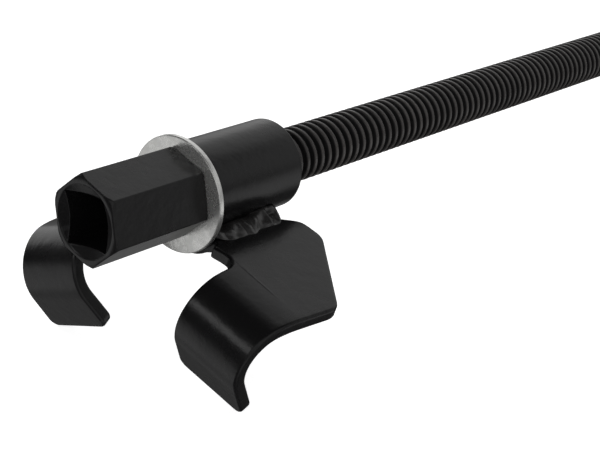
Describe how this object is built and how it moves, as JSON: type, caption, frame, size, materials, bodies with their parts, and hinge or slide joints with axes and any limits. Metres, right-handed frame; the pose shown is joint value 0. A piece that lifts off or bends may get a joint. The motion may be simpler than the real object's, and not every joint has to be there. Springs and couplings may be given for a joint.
{
  "type": "coil spring compressor",
  "caption": "Screw-operated spring compressor: double-hooked claws on a threaded spindle draw together when the square-drive hexagon head is turned.",
  "frame": {"origin": "centre of the drive head's front face, on the spindle axis", "axes": "+X along the spindle from the drive head to the tail, +Z away from the hooks, +Y completes the right-handed frame"},
  "size_m": [0.336, 0.0884, 0.0583],
  "materials": {
    "black_finish": "glossy black finish over steel",
    "black_oxide": "oiled black oxide on rolled thread",
    "weld_bead": "black-coated weld bead",
    "zinc_plate": "dull zinc plate",
    "spring_pin": "oiled spring steel"
  },
  "bodies": {
    "upper_jaw": {"upper_sleeve": "black_finish", "upper_claw": "black_finish", "upper_weld_left": "weld_bead", "upper_weld_right": "weld_bead"},
    "spindle": {"threaded_spindle": "black_oxide", "drive_head": "black_finish", "stop_pin": "spring_pin"},
    "washer": {"thrust_washer": "zinc_plate"},
    "lower_jaw": {"lower_threaded_sleeve": "black_finish", "lower_claw": "black_finish", "lower_weld_left": "weld_bead", "lower_weld_right": "weld_bead"}
  },
  "joints": [
    {"name": "spindle_spin", "type": "hinge", "parent": "upper_jaw", "child": "spindle", "pos_m": [0, 0, 0], "axis": [1, 0, 0], "range_deg": [-2520, 24480]},
    {"name": "lower_jaw_travel", "type": "slide", "parent": "upper_jaw", "child": "lower_jaw", "axis": [1, 0, 0], "range_m": [-0.20401, 0.02101]},
    {"name": "washer_spin", "type": "hinge", "parent": "upper_jaw", "child": "washer", "pos_m": [0.0309, 0.00055, -0.0009], "axis": [1, 0, 0], "continuous": true}
  ],
  "couplings": [
    {"joint": "lower_jaw_travel", "follows": "spindle_spin", "m_per_rad": -0.00047746}
  ]
}
